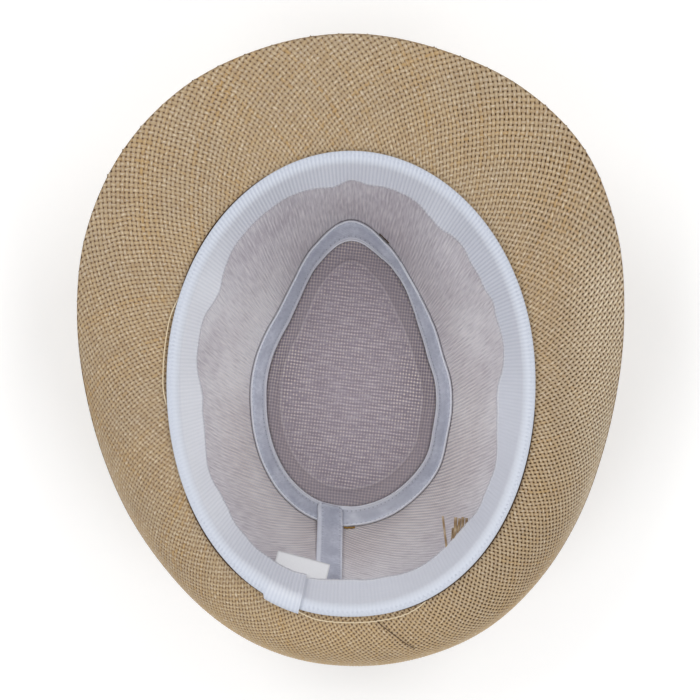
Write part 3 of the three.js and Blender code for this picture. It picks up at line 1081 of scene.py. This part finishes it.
class Finish:
    """A material, made of nodes that one method adds."""

    def __init__(self, name, roughness, specular):
        self.material = bpy.data.materials.new(name)
        self.material.use_nodes = True
        self.tree = self.material.node_tree
        self.shader = self.tree.nodes["Principled BSDF"]
        self.shader.inputs["Roughness"].default_value = roughness
        self.shader.inputs["Specular IOR Level"].default_value = specular

    def feed(self, socket, value):
        if isinstance(value, Val):
            self.tree.links.new(value.socket, socket)
        else:
            socket.default_value = value

    def node(self, kind, settings=None, values=None, output=0):
        """Value of a new node, for its type, its settings and what its sockets get."""
        made = self.tree.nodes.new("ShaderNode" + kind)
        for setting, value in (settings or {}).items():
            if setting == "stops":
                for i, (position, colour) in enumerate(value):
                    ramp = made.color_ramp.elements
                    stop = ramp[i] if i < len(ramp) else ramp.new(position)
                    stop.position, stop.color = position, colour
            else:
                setattr(made, setting, value)
        for key, value in (values or {}).items():
            self.feed(made.inputs[key], value)
        return Val(self, made.outputs[output])

    def mix(self, factor, a, b):
        return self.node("Mix", {"data_type": "RGBA"}, {0: factor, 6: a, 7: b}, 2)

    def ramp(self, factor, *stops):
        return self.node("ValToRGB", {"stops": stops}, {0: factor})

    def object_place(self):
        return self.node("TexCoord", {}, {}, "Object")

    def cloth_place(self):
        return self.node("UVMap", {"uv_map": "cloth"})

    def parts(self, vector):
        return [self.node("SeparateXYZ", {}, {0: vector}, axis) for axis in range(3)]

    def vector(self, x, y, z=0.0):
        return self.node("CombineXYZ", {}, {0: x, 1: y, 2: z})

    def noise(self, vector, scale, detail=3):
        return self.node("TexNoise", {}, {"Vector": vector, "Scale": scale, "Detail": detail})

    def streaks(self, x, y, z=0.0, detail=3):
        """Noise drawn out along the directions that are scaled down."""
        return self.noise(self.vector(x, y, z), 1, detail)

    def paint(self, tone, *coats):
        """Base colour: a tone, and other colours over it, each through its mask."""
        for mask, colour in coats:
            tone = self.mix(mask, tone, colour)
        self.feed(self.shader.inputs["Base Color"], tone)

    def bump(self, height, distance, strength):
        normal = self.node("Bump", {}, {"Height": height, "Distance": distance * MM, "Strength": strength})
        self.feed(self.shader.inputs["Normal"], normal)


def straw_finish(name, darker=0.0):
    """Flat paper straw: painted highlights make it paler where a strand passes over and on the right of the
    picture, and painted shade makes it browner at its edges and where it dips under.
    """
    finish = Finish(name, 0.6, 0.35)
    along, across, seed = finish.parts(finish.node("Attribute", {"attribute_name": "strand"}, {}, "Vector"))
    x, y, _ = finish.parts(finish.object_place())
    over = along.lines(2 * STRAND_PITCH)
    fibres = finish.streaks(along * 0.25, across * 3.5, seed * 90)
    painted_glints = finish.streaks(along * 0.45, across * 0.8, seed * 70, 2)
    sheen = finish.streaks(along * 0.8, across * 1.5, seed * 40, 2)
    patches = finish.noise(finish.object_place(), 45)
    painted_gloss = (x * -1).fade(0.09, 0.115) * (1 - abs(y - 0.02).fade(0.05, 0.09))
    rising = (seed * -1) > 0
    # Painted light and shade: the sheen, glints and gloss are painted highlights where a strand passes over
    # and on the right of the picture; the fibre colour at a strand's edges and the shade colour where it dips
    # under are painted shade.
    finish.paint(
        finish.ramp(abs(seed), (0, STRAW.tan), (0.35, STRAW.main), (0.8, STRAW.main), (1, STRAW.gold)),
        (patches.fade(0.35, 0.7) * 0.35, STRAW.grey),
        (y.fade(0.09, 0.13) * 0.5, STRAW.warm),
        (sheen.fade(0.5, 0.62) * over * 0.5, STRAW.sheen),
        (painted_glints.fade(0.5, 0.68) * over * 0.5, STRAW.cream),
        (painted_gloss * (rising * 0.5 + 0.3) * (over * 0.5 + 0.5), STRAW.cream),
        ((1 - fibres.fade(0.25, 0.6)) * 0.35, STRAW.fibre),
        (abs(across).fade(0.4, 1) * (painted_gloss * 0.3 + 0.5), STRAW.fibre),
        ((1 - over) * (1 - painted_gloss * rising * 0.6) * 0.5 + darker, STRAW.shade))
    finish.bump(fibres, 0.12, 0.6)
    return finish.material


def shade_sheet_finish():
    """Dark sheet behind the strands, painted shade that shows through their gaps, deepest on the right side
    of the hat in the picture.
    """
    finish = Finish("painted_shade_behind_straw", 0.9, 0.1)
    patches = finish.noise(finish.object_place(), 300, 2)
    x, _, _ = finish.parts(finish.object_place())
    # Painted shade, deeper on the right of the picture.
    deep = (x * -1).fade(-0.02, 0.06)
    finish.paint(finish.mix(patches, GAP_SHADE.dark, GAP_SHADE.light), (deep * 0.85, GAP_SHADE.deep))
    return finish.material


def side_cloth_finish():
    """Fine plain weave cut flat as an arc, so that its threads turn round the crown's cone."""
    finish = Finish("side_lining_cloth", 0.9, 0.15)
    u, v, _ = finish.parts(finish.cloth_place())
    x, y, z = finish.parts(finish.object_place())
    slack = finish.noise(finish.cloth_place(), 0.035, 2)
    warp, weft = u.lines(SIDE_WARP, slack * 4), v.lines(SIDE_WEFT, slack * -4)
    slubs = finish.streaks(u * 1.3, v * 0.1)
    patches = finish.noise(finish.object_place(), 28, 4)
    # Painted light: low on the wall and towards the back, warm light shows through the weave's holes and the
    # gaps between its threads show most.
    backlit_zone = (1 - z.fade(0.01, 0.07)) * (y.fade(-0.02, 0.05) * 0.7 + 0.3)
    shows = (backlit_zone * 0.5 + 0.25) * (1 - x.fade(0.015, 0.05) * 0.6)
    finish.paint(
        finish.mix(patches.fade(0.3, 0.75), SIDE.grey, SIDE.pale),
        ((y * -1).fade(0.02, 0.055) * 0.4, SIDE.shaded),
        (slubs.fade(0.4, 0.7) * 0.5, SIDE.slub),
        ((1 - slubs.fade(0.3, 0.5)) * 0.3, SIDE.thin),
        (((1 - warp) * 0.45 + (1 - weft) * 0.15) * shows, SIDE.between),
        (warp * weft * backlit_zone * 0.6, SIDE.straw_through))
    finish.bump(warp + weft * 0.4 + slubs * 2, 0.2, 0.7)
    return finish.material


def tip_cloth_finish():
    """Open plain weave of the crown's flat lining: painted light in straw tones shows through its small
    holes, and its steep slopes are painted lighter.
    """
    finish = Finish("tip_lining_cloth", 0.9, 0.15)
    turned = finish.node("Mapping", {}, {"Vector": finish.object_place(), "Scale": (1000, 1000, 1000),
                                         "Rotation": (0, 0, math.radians(TIP_WEAVE_TURN))})
    x, y, _ = finish.parts(turned)
    _, _, upward = finish.parts(finish.node("NewGeometry", {}, {}, "Normal"))
    slack = finish.noise(turned, 0.04, 2)
    warp, weft = x.lines(TIP_WARP, slack * 9), y.lines(TIP_WEFT, slack * -7)
    holes = warp * weft * (finish.noise(turned, 0.9).fade(0.3, 0.6) * 0.7 + 0.3)
    slubs = finish.streaks(x * 0.12, y * 1.1).fade(0.4, 0.7)
    # Painted light, paler where the dent's slopes are steep.
    slope_light = 1 - upward.fade(0.8, 0.99)
    outward = finish.vector(x / 40, y / 55 + 0.2)
    from_middle = finish.node("VectorMath", {"operation": "LENGTH"}, {0: outward}, 1)
    shows = (from_middle.fade(0.5, 1) * 0.45 + 0.45) * (1 - y.fade(0, 35) * 0.45)
    finish.paint(
        finish.mix(slubs, TIP.grey, TIP.pale),
        (slope_light * 0.75, TIP.slope),
        # Painted light in straw tones in the weave's holes.
        (holes.fade(0.2, 0.75) * shows, TIP.straw_through),
        ((1 - warp).least(1 - weft) * shows * 0.75, TIP.between))
    finish.bump(1 - holes, 0.2, 0.5)
    return finish.material


def grosgrain_finish(length, rib_pitch):
    """Ribbed ribbon on its own cloth map: ribs across it, paler selvedges along it."""
    finish = Finish("sweatband_grosgrain", 0.75, 0.25)
    u, v, _ = finish.parts(finish.cloth_place())
    x, y, _ = finish.parts(finish.object_place())
    from_free_edge = BAND_WIDTH + BAND_LIP + 0.5 - v
    off_lip = v.fade(2, 9)
    ribs = u.lines(rib_pitch)
    stops = sorted(((bearing - BAND_OVER_END) % 360 / BAND_TURN, (shows, shows, shows, 1))
                   for bearing, shows in BAND_RIB_SHOWS)
    shows = finish.ramp(u / length, *stops)
    right, front, back = (x * -1).fade(0, 0.06), (y * -1).fade(0.03, 0.08), y.fade(0.06, 0.1)
    shaded = (right * 0.45).most(front * 0.35).most(back * 0.3)
    threads = finish.streaks(u * 0.5, v * 4, detail=2)
    lengthwise = finish.streaks(u * 0.04, v * 1.6)
    cloth = finish.mix(lengthwise.fade(0.35, 0.7) * 0.5, BAND.main, BAND.pale)
    finish.paint(
        # Painted shade: the lip, which faces the lamps, is painted darker than the ribbon's inner face.
        finish.mix(off_lip, BAND.lip, cloth),
        (off_lip * shaded, BAND.shaded),
        ((1 - from_free_edge.fade(0.4, 1.4)) * 0.8, BAND.selvedge),
        # Painted shade in the valleys between the ribs.
        ((1 - ribs) * shows * 0.3, BAND.between))
    finish.bump(ribs * shows + threads * 0.3, 0.15, 0.6)
    return finish.material


def tape_finish(name, width, across_turns):
    """Thin bluish tape: fine weave, turned edges painted pale as a highlight where they are raised, with a
    line of needle holes beside them.
    """
    finish = Finish(name, 0.8, 0.2)
    u, v, _ = finish.parts(finish.cloth_place())
    x, y, _ = finish.parts(finish.object_place())
    along, across = (v, u) if across_turns else (u, v)
    from_edge = across.least(width - across)
    thread_turn = math.tau / TAPE_WEAVE
    weave = (along * thread_turn).cosine() * (across * thread_turn).cosine() * 0.5 + 0.5
    mottle = finish.noise(finish.object_place(), 700)
    worn = finish.noise(finish.object_place(), 90)
    needles = (along * (math.tau / NEEDLE_PITCH)).cosine().fade(0.55, 0.9)
    holes = needles * (1 - abs(from_edge - NEEDLES_IN).fade(0.15, 0.45))
    finish.paint(
        finish.mix(mottle.fade(0.3, 0.7), TAPE.main, TAPE.pale),
        (worn.fade(0.52, 0.75) * 0.45, TAPE.worn),
        (across.fade(width * 0.4, width * 0.7) * 0.3, TAPE.pale),
        (y.fade(0.06, 0.075) * (1 - x.fade(-0.002, 0.004)) * 0.45, TAPE.edge),
        (weave * 0.2, TAPE.edge),
        (from_edge.fade(0.6, 3) * worn.fade(0.3, 0.6) * 0.45, TAPE.worn),
        # Painted highlight along the raised edges.
        ((1 - from_edge.fade(0.35, 0.9)) * (0.5 if across_turns else 0.9), TAPE.edge),
        (holes * 0.5, TAPE.hole))
    finish.bump(weave * 0.6 + mottle - holes, 0.15, 0.6)
    return finish.material


def label_finish():
    """Satin of the bare label, with fine rows along it."""
    finish = Finish("label_satin", 0.6, 0.4)
    u, v, _ = finish.parts(finish.cloth_place())
    rows = v.lines(LABEL_ROWS)
    threads = finish.streaks(u * 4, v * 0.6)
    finish.paint(finish.mix(threads * 0.5 + rows * 0.3, LABEL.main, LABEL.pale))
    finish.bump(rows + threads * 0.5, 0.08, 0.5)
    return finish.material


def thread_finish(name):
    """Twisted thread of a light and a dark ply."""
    finish = Finish(name, 0.7, 0.3)
    twist = finish.noise(finish.object_place(), 2500, 2)
    finish.paint(finish.mix(twist, PLIES[name].light, PLIES[name].dark))
    finish.bump(twist, 0.05, 0.5)
    return finish.material


def floor_finish():
    """Pale paper of the studio floor, lit a little by itself."""
    finish = Finish("floor_paper", 0.9, 0.1)
    finish.paint(finish.mix(finish.noise(finish.object_place(), 400, 2), PAPER.main, PAPER.pale))
    finish.shader.inputs["Emission Color"].default_value = (1, 1, 1, 1)
    finish.shader.inputs["Emission Strength"].default_value = FLOOR_GLOW
    return finish.material


# Pieces

straw, shade_sheet = straw_finish("woven_straw"), shade_sheet_finish()
# Dark lines: the brim's joint is real; the line beside the lip and the one at the tape's fold are painted
# shadow.
joint_and_shadow_lines = thread_finish("joint_and_shadow_lines")

brim_sheet = Sheet(brim_section, BRIM_WEAVE_INSET)
bias_weave("brim_weave_above", brim_sheet, -1, straw, BRIM_STRANDS, "brim")
bias_weave("brim_weave_below", brim_sheet, 1, straw, BRIM_STRANDS)
rim_strand(brim_sheet, straw)
# Dark sheet of painted shade behind the brim's weave, showing through its gaps.
cloth_ring("brim_shade_sheet", brim_sheet, SHADE_SHEET_WALL, shade_sheet, "straw_cloth")

bias_weave("crown_side_weave", Sheet(wall_section, CROWN_WEAVE_INSET), -1, straw, CROWN_STRANDS, "crown_side")
# Dark sheets of painted shade behind the crown's weaves, showing through their gaps.
cloth_ring("crown_side_shade_sheet", Sheet(wall_section, CROWN_SHADE_SHEET_INSET), SHADE_SHEET_WALL, shade_sheet, "straw_cloth")
tip_weave(straw)
cloth_ring("crown_tip_shade_sheet", Sheet(lambda bearing: tip_section(bearing, CROWN_SHADE_SHEET_INSET)),
           SHADE_SHEET_WALL, shade_sheet, "straw_cloth", "crown_tip")

side_lining(side_cloth_finish())
cloth_ring("tip_lining_cloth_disc", Sheet(lambda bearing: tip_section(bearing, LINING_MIDDLE)),
           LINING_SEWN_WALL, tip_cloth_finish(), "lining_cloth", "tip_lining", tip_wrinkles)
sweatband()
ring_tape()
back_seam_tape()
label(label_finish())

band_zigzag()
brim_stitch()
headline_shade(joint_and_shadow_lines)
brim_joint(joint_and_shadow_lines)
tape_line("gold_thread_end", GOLD_THREAD_END, GOLD_RADIUS, thread_finish("gold_thread"))
tape_line("tape_fold_shade", TAPE_FOLD_SHADE, SHADE_RADIUS, joint_and_shadow_lines)
straw_ends(straw_finish("frayed_straw", 0.2))


# Floor, light and camera

def area_light(name, spot, size, power):
    """Round soft lamp that faces the hat."""
    light = bpy.data.lights.new(name, "AREA")
    light.shape, light.size, light.energy = "DISK", size, power
    lamp = add_object(name, light)
    lamp.location = spot
    lamp.rotation_euler = (Vector(LAMPS_FACE) - Vector(spot)).to_track_quat("-Z", "Y").to_euler()


floor_mesh = bmesh.new()
bmesh.ops.create_grid(floor_mesh, x_segments=1, y_segments=1, size=FLOOR_HALF_WIDTH)
add_mesh("floor", floor_mesh, floor_finish())

world = bpy.data.worlds.new("studio")
world.use_nodes = True
background = world.node_tree.nodes["Background"]
background.inputs["Color"].default_value = (1, 1, 1, 1)
background.inputs["Strength"].default_value = WORLD_LIGHT
bpy.context.scene.world = world
for lamp in LAMPS:
    area_light(*lamp)

camera_data = bpy.data.cameras.new("camera")
camera_data.sensor_width = SENSOR
camera_data.lens = SENSOR * VIEW_DISTANCE / PHOTO_WIDTH_AT_OPENING
camera = add_object("camera", camera_data)
camera.location = Vector((*VIEW_AXIS, VIEW_HEIGHT)) * MM
camera.rotation_euler = (0, 0, math.pi)
bpy.context.scene.camera = camera
bpy.context.scene.view_settings.view_transform = "Standard"
